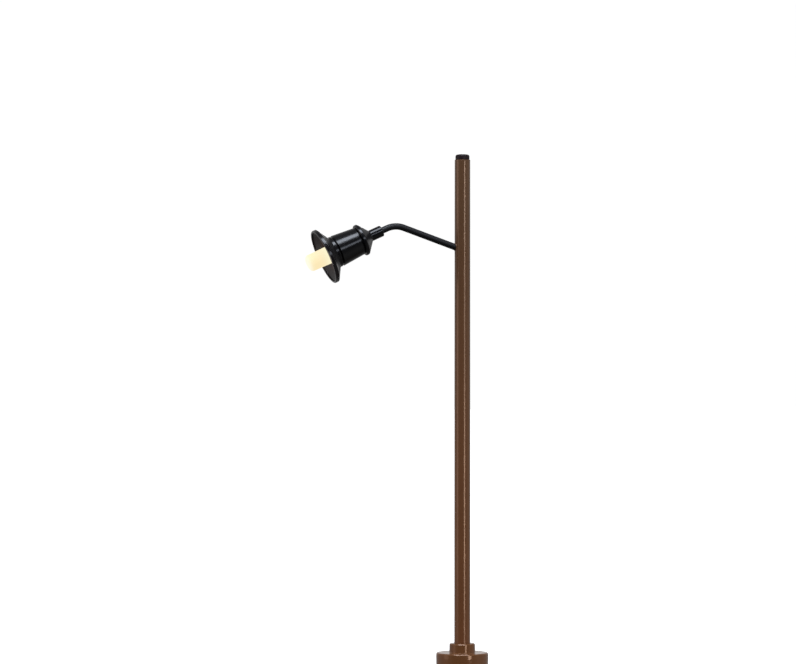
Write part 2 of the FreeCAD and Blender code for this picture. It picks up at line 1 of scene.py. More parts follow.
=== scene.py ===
import math
import bpy
import numpy as np
from mathutils import Euler, Matrix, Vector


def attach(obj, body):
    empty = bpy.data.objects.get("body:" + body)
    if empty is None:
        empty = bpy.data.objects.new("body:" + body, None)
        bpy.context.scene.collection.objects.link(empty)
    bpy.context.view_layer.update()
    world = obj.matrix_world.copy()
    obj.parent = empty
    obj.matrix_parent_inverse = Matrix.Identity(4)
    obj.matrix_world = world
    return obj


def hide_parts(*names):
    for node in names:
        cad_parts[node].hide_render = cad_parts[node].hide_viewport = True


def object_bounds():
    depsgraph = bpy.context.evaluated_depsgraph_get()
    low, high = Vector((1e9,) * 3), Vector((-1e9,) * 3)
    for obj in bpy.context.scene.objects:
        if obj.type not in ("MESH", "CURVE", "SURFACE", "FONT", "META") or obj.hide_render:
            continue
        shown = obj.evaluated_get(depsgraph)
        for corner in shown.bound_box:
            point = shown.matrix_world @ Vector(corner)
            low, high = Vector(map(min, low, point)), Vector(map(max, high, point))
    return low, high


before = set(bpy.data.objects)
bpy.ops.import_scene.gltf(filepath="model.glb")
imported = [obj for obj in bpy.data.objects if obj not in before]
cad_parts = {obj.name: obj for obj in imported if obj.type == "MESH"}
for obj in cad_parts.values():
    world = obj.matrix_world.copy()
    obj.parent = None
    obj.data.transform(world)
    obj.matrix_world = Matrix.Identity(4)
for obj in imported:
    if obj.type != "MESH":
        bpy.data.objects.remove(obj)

mm = 0.001
cadBounds = [list(corner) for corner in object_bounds()]   # the CAD model's box, before anything is added


# Measuring the frame. Lengths are in millimetres from here on, and turn into metres in putMesh.

def nodePoints(node):
    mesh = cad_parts[node].data
    flat = np.empty(len(mesh.vertices) * 3, np.float32)
    mesh.vertices.foreach_get("co", flat)
    return flat.reshape(-1, 3).astype(float) / mm


def boxMm(node):
    # Lowest and highest corner.
    points = nodePoints(node)
    return points.min(axis=0), points.max(axis=0)


# The round board behind the lamp's light lies square to the lamp's axis, so the direction in which
# it is thinnest is that axis.
boardPoints = nodePoints("led_board")
lampWay = np.linalg.svd(boardPoints - boardPoints.mean(axis=0))[2][2]
lampWay = lampWay * -np.sign(lampWay[0])
lampCentre = sum(boxMm("led_board")) / 2
upWay = np.array([0.0, 0.0, 1.0])
mastFoot = np.zeros(3)


def lampSpan(node):
    # First and last place that the node reaches along the lamp's axis.
    along = (nodePoints(node) - lampCentre) @ lampWay
    return along.min(), along.max()


def lampRadius(node, along, reach=0.05):
    # Largest distance from the lamp's axis among the node's points near one place along it.
    offset = nodePoints(node) - lampCentre
    at = offset @ lampWay
    radius = np.linalg.norm(offset - np.outer(at, lampWay), axis=1)
    return radius[np.abs(at - along) < reach].max()


# Surfaces

sharp, crisp, soft = 0.02, 0.03, 0.05   # roundings of plain edges, where a piece names none of its own


def roundedOutline(corners, closed, arcSteps=7, guard=0.03):
    # A section of straight lines through corners given as (along, radius, rounding), with each
    # corner replaced by a tangent arc: point = centre + rounding * (cos, sin) swept from one line
    # to the next. Guard points just outside each arc keep the flat faces flat when shaded smooth.
    spots = np.array([corner[:2] for corner in corners], float)
    rounds = [corner[2] for corner in corners]
    count = len(corners)
    pieces = []
    for i in range(count):
        if not closed and i in (0, count - 1):
            pieces.append(spots[i:i + 1])
            continue
        spot = spots[i]
        back = spots[i - 1] - spot
        ahead = spots[(i + 1) % count] - spot
        backLength, aheadLength = np.linalg.norm(back), np.linalg.norm(ahead)
        back, ahead = back / backLength, ahead / aheadLength
        half = math.acos(float(np.clip(back @ ahead, -1, 1))) / 2
        trim = min(rounds[i] / math.tan(half), 0.45 * backLength, 0.45 * aheadLength)
        radius = trim * math.tan(half)
        if radius < 1e-6:
            pieces.append(spot[None])
            continue
        centre = spot + (back + ahead) / np.linalg.norm(back + ahead) * radius / math.sin(half)
        first, last = spot + back * trim - centre, spot + ahead * trim - centre
        turn = math.pi - 2 * half
        share = np.linspace(0, 1, arcSteps)[:, None]
        arc = (np.sin((1 - share) * turn) * first + np.sin(share * turn) * last) / math.sin(turn)
        early = spot + back * (trim + min(guard, 0.2 * (backLength - trim)))
        late = spot + ahead * (trim + min(guard, 0.2 * (aheadLength - trim)))
        pieces.append(np.vstack([early, centre + arc, late]))
    return np.vstack(pieces)


def gridFaces(rows, columns, wrapRows):
    # Quads between neighbouring rows and columns of a grid that always closes round its columns.
    row = np.arange(rows if wrapRows else rows - 1)[:, None]
    column = np.arange(columns)[None, :]
    nextRow, nextColumn = (row + 1) % rows, (column + 1) % columns
    corners = [row * columns + column, row * columns + nextColumn,
               nextRow * columns + nextColumn, nextRow * columns + column]
    return np.stack([c.ravel() for c in np.broadcast_arrays(*corners)], axis=1)


def putMesh(name, points, *faceSets):
    # Points in millimetres and arrays of faces become a smooth mesh in metres. A face's area vector is
    # the cross product of its diagonals. The faces point outwards when the sum of each face's first
    # corner times its area vector is positive.
    mesh = bpy.data.meshes.new(name)
    mesh.from_pydata((points * mm).tolist(), [], [face for faces in faceSets for face in faces.tolist()])
    mesh.validate()
    mesh.polygons.foreach_set("use_smooth", np.ones(len(mesh.polygons), bool))
    volume = 0.0
    for faces in faceSets:
        first, second, third, last = (points[faces[:, k]] for k in (0, 1, 2, -1))
        volume += (first * np.cross(third - first, last - second)).sum()
    if volume < 0:
        mesh.flip_normals()
    mesh.update()
    piece = bpy.data.objects.new(name, mesh)
    bpy.context.scene.collection.objects.link(piece)
    return piece


def sideWays(way):
    # Two directions square to a direction in the X-Z plane: one in that plane, one along Y.
    across = np.array([0.0, 1.0, 0.0])
    return np.cross(across, way), across


def turned(name, corners, start, way, around=128, closed=True, arcSteps=7):
    # Section (a, r) turned about an axis: point(a, v) = start + a * way + r * (cos v * e1 + sin v * e2).
    # An open section begins and ends on the axis, and each end is one pole point with a fan.
    section = roundedOutline(corners, closed, arcSteps)
    e1, e2 = sideWays(way)
    v = np.linspace(0, 2 * np.pi, around, endpoint=False)
    ring = np.cos(v)[:, None] * e1 + np.sin(v)[:, None] * e2
    body = section if closed else section[1:-1]
    grid = start + body[:, 0, None, None] * way + body[:, 1, None, None] * ring[None]
    points = grid.reshape(-1, 3)
    faceSets = [gridFaces(len(body), around, closed)]
    if not closed:
        poles = start + section[[0, -1], 0][:, None] * way
        firstPole, lastPole = len(points), len(points) + 1
        points = np.vstack([points, poles])
        here = np.arange(around)
        after = (here + 1) % around
        base = (len(body) - 1) * around
        faceSets.append(np.stack([np.full(around, firstPole), after, here], axis=1))
        faceSets.append(np.stack([np.full(around, lastPole), base + here, base + after], axis=1))
    return putMesh(name, points, *faceSets)


def tubeAlong(name, path, sides, radius, bore, around=48):
    # A tube along a path in the X-Z plane: point(s, v) = path(s) + r * (cos v * side(s) + sin v * Y),
    # out along the outside with r = radius and back along the bore, so that the wall is closed.
    v = np.linspace(0, 2 * np.pi, around, endpoint=False)
    ring = np.cos(v)[None, :, None] * sides[:, None] + np.sin(v)[None, :, None] * np.array([0, 1.0, 0])
    outside = path[:, None] + radius * ring
    inside = (path[:, None] + bore * ring)[::-1]
    points = np.vstack([outside, inside]).reshape(-1, 3)
    return putMesh(name, points, gridFaces(2 * len(path), around, True))


def give(piece, body, slot, material, *nodes):
    # Finish of a piece, the body it rides on, and the CAD nodes it stands for.
    piece.data.materials.clear()
    piece.data.materials.append(material)
    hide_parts(*nodes)
    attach(piece, body)
    return piece


# Materials

def linear(hexColour):
    # An sRGB hex colour as the linear values that shaders take.
    channels = np.array([int(hexColour[i:i + 2], 16) / 255 for i in (1, 3, 5)])
    value = np.where(channels <= 0.04045, channels / 12.92, ((channels + 0.055) / 1.055) ** 2.4)
    return (*value.tolist(), 1.0)


def newMaterial(name):
    material = bpy.data.materials.new(name)
    material.use_nodes = True
    material.node_tree.nodes.clear()
    return material


def addNode(tree, kind, settings=None, links=None):
    # One node with its settings, by input or property name, and its links, by input name.
    node = tree.nodes.new(kind)
    for key, value in (settings or {}).items():
        if isinstance(key, int) or key in node.inputs:
            node.inputs[key].default_value = value
        else:
            setattr(node, key, value)
    for key, socket in (links or {}).items():
        tree.links.new(socket, node.inputs[key])
    return node


def grain(tree, sizeMm, detail=2.0):
    # Noise whose blotches are about sizeMm across, on Object coordinates in metres.
    place = addNode(tree, "ShaderNodeTexCoord")
    return addNode(tree, "ShaderNodeTexNoise", {"Scale": 1 / (sizeMm * mm), "Detail": detail},
                   {"Vector": place.outputs["Object"]}).outputs["Fac"]


def between(tree, value, low, high):
    # Noise lies mostly between 0.3 and 0.7, which becomes low to high.
    limits = {"From Min": 0.3, "From Max": 0.7, "To Min": low, "To Max": high}
    return addNode(tree, "ShaderNodeMapRange", limits, {"Value": value}).outputs["Result"]


def blendColours(tree, factor, first, second):
    # Socket 0 is the factor, 6 and 7 are the two colours, and output 2 is the colour.
    mix = addNode(tree, "ShaderNodeMix", {"data_type": "RGBA", 6: linear(first), 7: linear(second)},
                  {0: factor})
    return mix.outputs[2]


def bumped(tree, height, depthMm):
    return addNode(tree, "ShaderNodeBump", {"Strength": 1.0, "Distance": depthMm * mm},
                   {"Height": height}).outputs["Normal"]


def colourRamp(tree, value, low, high, stops):
    # A ramp over a value running from low to high, with stops as (value, linear colour).
    share = addNode(tree, "ShaderNodeMapRange", {"From Min": low, "From Max": high}, {"Value": value})
    ramp = addNode(tree, "ShaderNodeValToRGB", None, {"Fac": share.outputs["Result"]})
    elements = ramp.color_ramp.elements
    while len(elements) < len(stops):
        elements.new(0.5)
    for element, (at, colour) in zip(elements, stops):
        element.position = (at - low) / (high - low)
        element.color = colour
    return ramp.outputs["Color"]


def levelRamp(tree, value, stops):
    # The same for plain levels, over a value between -1 and 1.
    return colourRamp(tree, value, -1.0, 1.0, [(at, (level, level, level, 1)) for at, level in stops])


def finishWith(tree, settings, links):
    shader = addNode(tree, "ShaderNodeBsdfPrincipled", settings, links)
    addNode(tree, "ShaderNodeOutputMaterial", None, {"Surface": shader.outputs["BSDF"]})


def coated(name, dark, light, roughness, spread, blotchMm, peelMm, depthMm, **settings):
    # A skin of paint or moulded plastic: two near colours in soft blotches, a slightly uneven
    # gloss, and a fine relief.
    material = newMaterial(name)
    tree = material.node_tree
    blotch = between(tree, grain(tree, blotchMm, 3.0), 0, 1)
    relief = grain(tree, peelMm, 1.0)
    gloss = between(tree, grain(tree, blotchMm / 3, 2.0), roughness - spread, roughness + spread)
    finishWith(tree, settings, {
        "Base Color": blendColours(tree, blotch, dark, light),
        "Roughness": gloss,
        "Normal": bumped(tree, relief, depthMm),
    })
    return material


warmSheen = {"Specular Tint": linear("#ffdcc4")}   # both browns tint what they reflect
# browns at the top and at the foot of the mast, and the heights between which one turns into the other
# the warmer, lighter foot brown is painted warm bounce light, not the enamel's own colour
mastCoatAndBounce = {"top": ("#624631", "#684b35"), "foot": ("#74492d", "#7a4e31"), "reach": (95.0, 5.0),
            "roughness": (0.14, 0.18)}


def makeBrownEnamel():
    # Satin enamel sprayed on a brass tube: even brown, a soft sheen, a trace of orange peel.
    # Towards the foot the brown turns warmer and lighter: painted warm bounce light.
    material = newMaterial("satinBrownEnamel")
    tree = material.node_tree
    blotch = between(tree, grain(tree, 12.0, 3.0), 0, 1)
    place = addNode(tree, "ShaderNodeTexCoord")
    parts = addNode(tree, "ShaderNodeSeparateXYZ", None, {"Vector": place.outputs["Object"]})
    high, low = mastCoatAndBounce["reach"]
    # share of the painted warm bounce light, growing from the top towards the foot
    down = addNode(tree, "ShaderNodeMapRange", {"From Min": high * mm, "From Max": low * mm},
                   {"Value": parts.outputs["Z"]}).outputs["Result"]
    colour = addNode(tree, "ShaderNodeMix", {"data_type": "RGBA"},
                     {0: down, 6: blendColours(tree, blotch, *mastCoatAndBounce["top"]),
                      7: blendColours(tree, blotch, *mastCoatAndBounce["foot"])})
    finishWith(tree, warmSheen, {
        "Base Color": colour.outputs[2],
        "Roughness": between(tree, grain(tree, 4.0, 2.0), *mastCoatAndBounce["roughness"]),
        "Normal": bumped(tree, grain(tree, 3.0, 1.0), 0.001),
    })
    return material


satinBrownEnamel = makeBrownEnamel()

# Each line gives two near colours, the roughness and its spread, and in millimetres the size of the
# blotches, and the size and depth of the relief.

# Injection-moulded brown ABS: the same brown a little redder, smooth mould finish.
mouldedBrownAbs = coated("mouldedBrownAbs", "#754d2f", "#7b5134", 0.13, 0.02, 6.0, 2.0, 0.0005, **warmSheen)
# Gloss black ABS of the lamp: near black, a clear polished reflection with soft edges.
glossBlackAbs = coated("glossBlackAbs", "#0b0b0d", "#0f0f12", 0.2, 0.02, 6.0, 2.0, 0.0004)
# Satin black paint sprayed on the arm's thin tube: dull, so that lights spread into one broad dim sheen.
satinBlackPaint = coated("satinBlackPaint", "#0e0e11", "#131317", 0.5, 0.05, 1.5, 0.5, 0.001)
# Soft black PVC of the mast's cap, with a warm cast and less gloss.
softBlackPvc = coated("softBlackPvc", "#1c0f13", "#221418", 0.5, 0.04, 0.8, 0.4, 0.002,
                      **{"Specular IOR Level": 0.25})
# Glass-filled black PBT of the socket and carrier: matt, with a fine spark-eroded grain.
glassFilledBlackPbt = coated("glassFilledBlackPbt", "#161514", "#1d1c1b", 0.5, 0.05, 1.2, 0.25, 0.004)


litEnd = {
    "glow": 0.96, "body": "#74726a", "length": 4.5,
    # glow by share of that length, from the shade to the tip
    "colours": ((0.1, "#fff8d2"), (0.28, "#fdefc6"), (0.45, "#feecbe"), (0.72, "#feeab8"),
                (0.86, "#feedc0"), (0.93, "#fff4d2"), (1.0, "#fffae2")),
}


def makeMilkyAcrylic():
    # Milky cast acrylic lit from its foot: warm in the middle, paler beside the lamp and at the tip.
    material = newMaterial("litMilkyAcrylic")
    tree = material.node_tree
    place = addNode(tree, "ShaderNodeTexCoord")
    towards = addNode(tree, "ShaderNodeVectorMath", {"operation": "DOT_PRODUCT", 1: tuple(lampWay)},
                      {0: place.outputs["Object"]})
    end = float(lampCentre @ lampWay) + lampSpan("light_diffuser")[1]
    start = end - litEnd["length"]
    stops = [((start + share * litEnd["length"]) * mm, linear(colour)) for share, colour in litEnd["colours"]]
    glow = colourRamp(tree, towards.outputs["Value"], start * mm, end * mm, stops)
    finishWith(tree, {"Base Color": linear(litEnd["body"]), "Roughness": 0.6, "Specular IOR Level": 0.2,
                      "Emission Strength": litEnd["glow"]}, {"Emission Color": glow})
    return material


milkyAcrylic = makeMilkyAcrylic()

brass = {"colours": ("#c9a055", "#dcb872"), "roughness": (0.3, 0.4), "ringGap": 0.118, "ringDepth": 0.0012}


def makeTurnedBrass():
    # Bar-turned brass: bright, with fine rings across the turning axis, 0.05 mm apart on the real
    # one and drawn coarser to show. At scale 1 a wave's bands are pi / 10 apart.
    material = newMaterial("turnedBrass")
    tree = material.node_tree
    place = addNode(tree, "ShaderNodeTexCoord")
    rings = addNode(tree, "ShaderNodeTexWave", {"bands_direction": "Z", "Distortion": 1.5,
                                                "Scale": math.pi / 10 / (brass["ringGap"] * mm)},
                    {"Vector": place.outputs["Object"]})
    finishWith(tree, {"Metallic": 1.0}, {
        "Base Color": blendColours(tree, between(tree, grain(tree, 1.0), 0, 1), *brass["colours"]),
        "Roughness": between(tree, grain(tree, 0.4), *brass["roughness"]),
        "Normal": bumped(tree, rings.outputs["Fac"], brass["ringDepth"]),
    })
    return material


turnedBrass = makeTurnedBrass()
# Solder mask printed on the boards: a thin, slightly wavy, half-gloss coat.
greenMask = coated("greenSolderMaskOnGlassEpoxy", "#14472a", "#1a5733", 0.35, 0.05, 0.8, 0.25, 0.004)
whiteMask = coated("whiteSolderMaskOnAluminium", "#dcdcd6", "#e8e8e4", 0.4, 0.05, 0.8, 0.25, 0.003)
# Cast silicone filled with yellow phosphor: smooth and a little uneven in colour.
phosphorResin = coated("yellowPhosphorResin", "#e3c04a", "#efd26a", 0.3, 0.05, 0.3, 0.1, 0.003)
# Fired glass glaze over the resistor, and the matt moulded epoxy of the diode.
chipCeramic = coated("glazedBlackCeramic", "#141416", "#1c1c1f", 0.3, 0.05, 0.5, 0.1, 0.003)
chipEpoxy = coated("mouldedBlackEpoxy", "#101011", "#181819", 0.45, 0.05, 0.4, 0.1, 0.006)
# Clear red-brown enamel baked on drawn copper wire: smooth and fairly glossy.
wireEnamel = coated("enamelledCopper", "#7a3316", "#93431f", 0.25, 0.04, 0.6, 0.2, 0.002)

print("materials:", len(bpy.data.materials))


# Mast

mast = {"wall": 0.4, "edge": 0.06, "coat": 0.025, "footCoat": 0.075}   # the enamel thickens downwards


def makeMast():
    # Section of the tube's wall, whose outside draws in a little towards the top, turned about Z.
    low, high = boxMm("mast_tube")
    bore = high[1] - mast["wall"]
    edge = mast["edge"]
    piece = turned("mastTube", [
        (low[2], bore, edge),
        (low[2], high[1] + mast["footCoat"], edge),
        (high[2], high[1] + mast["coat"], edge),
        (high[2], bore, edge),
    ], mastFoot, upWay)
    return give(piece, "lamp", "mast_paint", satinBrownEnamel, "mast_tube")


mastCap = {"crown": 0.42, "lip": 0.1, "plugGap": 0.02, "plugEdge": 0.1, "shoulder": 0.12, "flat": 0.35,
           "dome": 0.8}


def makeMastCap():
    # Half outline from the plug's bottom to the crown's top, turned about Z.
    low, high = boxMm("mast_cap")
    seat = boxMm("mast_tube")[1][2]
    headRadius = high[1]
    plugRadius = boxMm("mast_tube")[1][1] - mast["wall"] - mastCap["plugGap"]
    piece = turned("mastCap", [
        (low[2], 0, 0),
        (low[2], plugRadius, mastCap["plugEdge"]),
        (seat, plugRadius, sharp),
        (seat, headRadius, mastCap["lip"]),
        (high[2] - mastCap["shoulder"], headRadius, mastCap["crown"]),
        (high[2], headRadius * mastCap["flat"], mastCap["dome"]),
        (high[2], 0, 0),
    ], mastFoot, upWay, closed=False)
    return give(piece, "lamp", "black_plastic", softBlackPvc, "mast_cap")


# Arm: a straight run out of the mast, one bend, a straight tail into the lamp

arm = {"slopeDegrees": 19.7, "bend": 4.5, "wall": 0.25, "skin": 0.04, "bendSteps": 40, "runSteps": 12}


def armPath():
    # Centre line: straight from the root to the bend, arc about one centre, straight to the end.
    low, high = boxMm("bracket_arm")
    radius = high[1]
    slope = math.radians(arm["slopeDegrees"])
    outward = np.array([-math.cos(slope), 0, math.sin(slope)])
    root = np.array([high[0] - radius * math.sin(slope), 0, low[2] + radius * math.cos(slope)])
    # the corner is where the arm's line meets the lamp's axis
    bothWays = np.array([[outward[0], -lampWay[0]], [outward[2], -lampWay[2]]])
    reach = np.linalg.solve(bothWays, (lampCentre - root)[[0, 2]])[0]
    corner = root + outward * reach
    tilt = math.asin(-lampWay[2])
    turn = slope + tilt
    trim = arm["bend"] * math.tan(turn / 2)
    end = lampSpan("lamp_rear_cap")[0] + rearCap["armDepth"]
    tail = float((lampCentre + lampWay * end - corner) @ lampWay)
    angle = np.linspace(0, turn, arm["bendSteps"])[:, None]
    upFromRun = np.array([math.sin(slope), 0, math.cos(slope)])
    bendStart = corner - outward * trim
    centre = bendStart - upFromRun * arm["bend"]
    side = np.cos(angle) * upFromRun + np.sin(angle) * outward
    bendPoints = centre + arm["bend"] * side
    tailUp = np.array([-math.sin(tilt), 0, math.cos(tilt)])
    runs = np.linspace(0, 1, arm["runSteps"])[:, None]
    path = np.vstack([root + (bendStart - root) * runs, bendPoints[1:-1],
                      bendPoints[-1] + lampWay * (tail - trim) * runs])
    straight = (arm["runSteps"], 1)
    sides = np.vstack([np.tile(upFromRun, straight), side[1:-1], np.tile(tailUp, straight)])
    return path, sides, radius


def makeArm():
    path, sides, radius = armPath()
    piece = tubeAlong("bracketArm", path, sides, radius + arm["skin"], radius - arm["wall"])
    return give(piece, "lamp", "black_paint", satinBlackPaint, "bracket_arm")


armSeat = {"bead": 0.12, "around": 96, "beadSteps": 16}


def makeArmSeat():
    # A thin fillet of the mast's enamel where the arm enters it: a bead along the curve where the two
    # cylinders meet. On the arm at angle v, the distance u along it solves x^2 + y^2 = mast radius^2.
    # Round that curve, point(v, w) = curve(v) + bead * (cos w * arm's normal + sin w * mast's normal).
    path, sides, radius = armPath()
    root, outward, up = path[0], (path[1] - path[0]), sides[0]
    outward = outward / np.linalg.norm(outward)
    mastRadius = boxMm("mast_tube")[1][1]
    v = np.linspace(0, 2 * np.pi, armSeat["around"], endpoint=False)[:, None]
    around = np.cos(v) * up + np.sin(v) * np.array([0, 1.0, 0])
    start = root + (radius + arm["skin"]) * around
    u = (-np.sqrt(mastRadius ** 2 - start[:, 1:2] ** 2) - start[:, :1]) / outward[0]
    curve = start + u * outward
    mastNormal = curve * [1, 1, 0] / np.linalg.norm(curve * [1, 1, 0], axis=1, keepdims=True)
    w = np.linspace(0, 2 * np.pi, armSeat["beadSteps"], endpoint=False)[None, :, None]
    bead = curve[:, None] + armSeat["bead"] * (np.cos(w) * around[:, None] + np.sin(w) * mastNormal[:, None])
    faces = gridFaces(armSeat["around"], armSeat["beadSteps"], True)
    piece = putMesh("armSeat", bead.reshape(-1, 3), faces)
    return give(piece, "lamp", "mast_paint", satinBrownEnamel)


# Lamp head, as sections turned about the lamp's axis

rearCap = {"sleeve": 2.48, "cone": 1.70, "armDepth": 2.2, "armGap": 0.02, "sleeveEdge": 0.12,
           "coneFoot": 0.15, "flangeEdge": 0.26, "flangeFrontEdge": 0.24, "seam": 0.3, "seamBevel": 0.1,
           "grooveFloor": 0.05, "grooveWidth": 0.16, "grooveDepth": 0.28, "chamber": 1.7,
           "chamberEdge": 0.2, "passage": 0.45, "passageEdge": 0.1, "wall": 0.35}


def makeRearCap():
    # Section of sleeve, cone and flange, with a chamber and the arm's seat inside.
    start, end = lampSpan("lamp_rear_cap")
    flangeFront = lampSpan("lamp_barrel")[0]
    coneStart = start + rearCap["sleeve"]
    flangeRear = coneStart + rearCap["cone"]
    sleeve = lampRadius("lamp_rear_cap", start)
    flange = lampRadius("lamp_rear_cap", (flangeRear + flangeFront) / 2, reach=0.5)
    insert = lampRadius("lamp_rear_cap", end)
    armHole = boxMm("bracket_arm")[1][1] + arm["skin"] + rearCap["armGap"]
    seat = start + rearCap["armDepth"]
    seam = flangeFront - rearCap["seam"]   # the flange stops short of the barrel, with a dark groove between
    barrelRear = lampRadius("lamp_barrel", flangeFront)
    groove = barrelRear - rearCap["grooveDepth"]
    piece = turned("lampRearCap", [
        (start, armHole, soft),
        (start, sleeve, rearCap["sleeveEdge"]),
        (coneStart, sleeve, rearCap["coneFoot"]),
        (flangeRear, flange, rearCap["flangeEdge"]),
        (seam - rearCap["seamBevel"], flange, rearCap["flangeFrontEdge"]),
        (seam, groove, sharp),
        (seam + rearCap["grooveFloor"], groove, sharp),
        (seam + rearCap["grooveWidth"], barrelRear, soft),
        (flangeFront, barrelRear, sharp),
        (flangeFront, insert, sharp),
        (end, insert, soft),
        (end, rearCap["chamber"], soft),
        (flangeRear - rearCap["wall"], rearCap["chamber"], rearCap["chamberEdge"]),
        (seat + rearCap["wall"], rearCap["passage"], rearCap["passageEdge"]),
        (seat, rearCap["passage"], sharp),
        (seat, armHole, sharp),
    ], lampCentre, lampWay)
    return give(piece, "lamp", "black_plastic", glossBlackAbs, "lamp_rear_cap")


barrel = {"frontLip": 0.08, "frontBevel": 0.03, "frontEdge": 0.08, "rearEdge": 0.01, "boardGap": 0.02,
          "webLength": 0.4, "webRadius": 1.6}


def makeBarrel():
    # Section of a tube that widens forward, with an inner web behind the light guide.
    start, end = lampSpan("lamp_barrel")
    rear = lampRadius("lamp_barrel", start)
    front = lampRadius("lamp_barrel", end)
    end += barrel["frontLip"]
    bore = lampRadius("led_board", 0, reach=1.0) + barrel["boardGap"]
    webFront = lampSpan("light_diffuser")[0]
    webRear = webFront - barrel["webLength"]
    piece = turned("lampBarrel", [
        (start, bore, crisp),
        (start, rear, barrel["rearEdge"]),
        (end - barrel["frontBevel"], front, barrel["frontEdge"]),
        (end, front - barrel["frontBevel"], crisp),
        (end, bore, crisp),
        (webFront, bore, crisp),
        (webFront, barrel["webRadius"], soft),
        (webRear, barrel["webRadius"], soft),
        (webRear, bore, crisp),
    ], lampCentre, lampWay)
    return give(piece, "lamp", "black_plastic", glossBlackAbs, "lamp_barrel")


shade = {"neck": 0.88, "neckEdge": 0.06, "groove": 0.36, "grooveFloor": 0.1, "rim": 0.73, "rimWidth": 0.43,
         "rimFoot": 0.12, "rimEdge": 0.24, "lipEdge": 0.1, "wall": 0.55, "floorEdge": 0.3, "holeGap": 0.05}


def shadeCone():
    # Where the neck ends, its radius, the cone's slope (radius per length), and its wall across the axis.
    barrelEnd = lampSpan("lamp_barrel")[1]
    end = lampSpan("lamp_shade")[1]
    neckFront = barrelEnd + barrel["frontLip"] + shade["neck"]
    neck = lampRadius("lamp_shade", barrelEnd)
    rim = lampRadius("lamp_shade", end - shade["rim"] / 2, reach=0.3)
    slope = (rim - neck) / (end - shade["rim"] - neckFront)
    return neckFront, neck, slope, shade["wall"] * math.sqrt(1 + slope ** 2)


shadeSkin = {
    "colours": ("#0d0c0e", "#121013"),
    # roughness by distance from the lamp's axis: neck, cone, rim
    "roughness": ((0, 0.2), (3.2, 0.2), (3.55, 0.45), (4.9, 0.45), (5.15, 0.19), (8.0, 0.19)),
    # painted warm glow of the diffuser's light inside the cone, full at the first radius and gone at the
    # second
    "paintedSpill": "#6a3c18", "paintedSpillRadius": (1.75, 4.3), "paintedSpillStrength": 0.42,
}


def makeShadeAbs():
    # The same black ABS: polished on the neck, satin on the cone for a soft grey sheen, and glossier
    # again on the rim. Inside the cone, round the diffuser's foot, the plastic glows warm: painted light.
    material = newMaterial("satinBlackAbs")
    tree = material.node_tree
    place = addNode(tree, "ShaderNodeTexCoord")
    offset = addNode(tree, "ShaderNodeVectorMath", {"operation": "SUBTRACT", 1: tuple(lampCentre * mm)},
                     {0: place.outputs["Object"]})
    along = addNode(tree, "ShaderNodeVectorMath", {"operation": "DOT_PRODUCT", 1: tuple(lampWay)},
                    {0: offset.outputs["Vector"]})
    across = addNode(tree, "ShaderNodeVectorMath", {"operation": "CROSS_PRODUCT", 1: tuple(lampWay)},
                     {0: offset.outputs["Vector"]})
    radius = addNode(tree, "ShaderNodeVectorMath", {"operation": "LENGTH"}, {0: across.outputs["Vector"]})
    radius = radius.outputs["Value"]
    stops = [(at * mm, (level, level, level, 1)) for at, level in shadeSkin["roughness"]]
    # painted glow of the diffuser's light on the shade, fading with distance from the lamp's axis
    near, far = shadeSkin["paintedSpillRadius"]
    paintedSpill = addNode(tree, "ShaderNodeMapRange", {"From Min": near * mm, "From Max": far * mm, "To Min": 1.0,
                                                 "To Max": 0.0, "interpolation_type": "SMOOTHSTEP"},
                    {"Value": radius})
    # radius - slope * along is constant on the cone's outside, and one wall less on its inside
    neckFront, neck, slope, wallAcross = shadeCone()
    fromCone = addNode(tree, "ShaderNodeMath", {"operation": "MULTIPLY_ADD", 1: -slope},
                       {0: along.outputs["Value"], 2: radius})
    skin = neck - slope * neckFront
    inside = addNode(tree, "ShaderNodeMapRange", {"From Min": (skin - 0.3 * wallAcross) * mm,
                                                  "From Max": (skin - 0.7 * wallAcross) * mm},
                     {"Value": fromCone.outputs["Value"]})
    strength = addNode(tree, "ShaderNodeMath", {"operation": "MULTIPLY"},
                       {0: paintedSpill.outputs["Result"], 1: inside.outputs["Result"]})
    strength = addNode(tree, "ShaderNodeMath", {"operation": "MULTIPLY", 1: shadeSkin["paintedSpillStrength"]},
                       {0: strength.outputs["Value"]})
    blotch = between(tree, grain(tree, 5.0, 3.0), 0, 1)
    finishWith(tree, {"Emission Color": linear(shadeSkin["paintedSpill"])}, {
        "Base Color": blendColours(tree, blotch, *shadeSkin["colours"]),
        "Roughness": colourRamp(tree, radius, 0, stops[-1][0], stops),
        "Emission Strength": strength.outputs["Value"],
        "Normal": bumped(tree, grain(tree, 1.5, 1.0), 0.0008),
    })
    return material


def makeShade():
    # Section of spigot, grooved neck, cone and rim, then back along the inside of the cone.
    start, end = lampSpan("lamp_shade")
    barrelEnd = lampSpan("lamp_barrel")[1]
    neckRear = barrelEnd + barrel["frontLip"]
    rimRear = end - shade["rim"]
    rim = lampRadius("lamp_shade", end - shade["rim"] / 2, reach=0.3)
    insert = lampRadius("lamp_shade", start)
    hole = diffuser["radius"] + shade["holeGap"]
    neckFront, neck, slope, across = shadeCone()
    floor = neckFront + shade["wall"]
    lip = rim - shade["rimWidth"]
    piece = turned("lampShade", [
        (start, hole, crisp),
        (start, insert, crisp),
        (neckRear, insert, sharp),
        (neckRear, neck - shade["groove"], sharp),
        (neckRear + shade["grooveFloor"], neck - shade["groove"], sharp),
        (neckRear + shade["groove"], neck, shade["neckEdge"]),
        (neckFront, neck, crisp),
        (rimRear, rim, shade["rimFoot"]),
        (end, rim, shade["rimEdge"]),
        (end, lip, shade["lipEdge"]),
        (rimRear + (across - shade["rimWidth"]) / slope, lip, shade["lipEdge"]),
        (floor, neck + slope * shade["wall"] - across, shade["floorEdge"]),
        (floor, hole, soft),
    ], lampCentre, lampWay, around=160)
    return give(piece, "lamp", "black_plastic", makeShadeAbs(), "lamp_shade")


diffuser = {"radius": 1.75, "draft": 0.11, "flange": 0.5, "tip": 1.3, "pocket": 0.3, "pocketRadius": 1.58}


